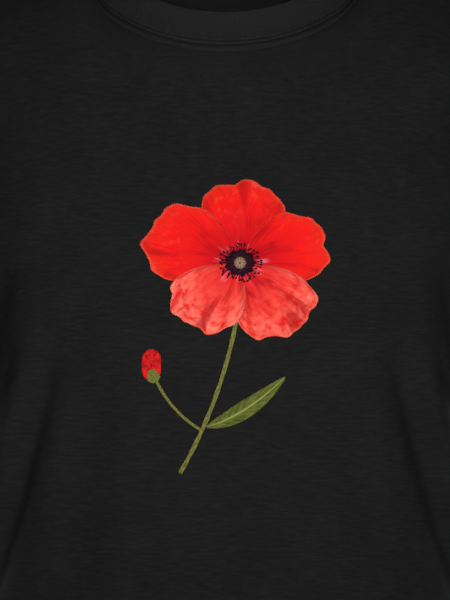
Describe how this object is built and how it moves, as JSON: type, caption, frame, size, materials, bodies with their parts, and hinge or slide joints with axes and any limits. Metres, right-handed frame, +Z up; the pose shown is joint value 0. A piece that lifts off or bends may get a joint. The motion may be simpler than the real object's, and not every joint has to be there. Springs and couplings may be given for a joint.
{
  "type": "t-shirt",
  "caption": "Short-sleeved crew-neck T-shirt, hollow and filled out as worn, with a ribbed neckband and a flower printed on the chest.",
  "frame": {"origin": "midway between the two points where the neck seam meets the shoulder seams, where the shirt hangs on its wearer", "axes": "+X towards the wearer's left, +Y towards the back, +Z up; the print faces -Y"},
  "size_m": [0.7296, 0.2407, 0.6991],
  "materials": {
    "jersey": "black cotton single jersey, matt",
    "rib": "black cotton 1x1 rib, matt",
    "tape": "black cotton neck tape",
    "ink_red": "red water-based ink soaked into the knit",
    "ink_dark": "dark plum water-based ink soaked into the knit",
    "ink_green": "green water-based ink soaked into the knit"
  },
  "bodies": {
    "root": {"front_panel": "jersey", "back_panel": "jersey", "sleeve_left": "jersey", "sleeve_right": "jersey", "neckband": "rib", "neck_tape": "tape", "print_bloom": "ink_red", "print_eye": "ink_dark", "print_stem": "ink_green", "print_leaf": "ink_green", "print_stalk": "ink_green", "print_bud": "ink_red"}
  },
  "joints": []
}
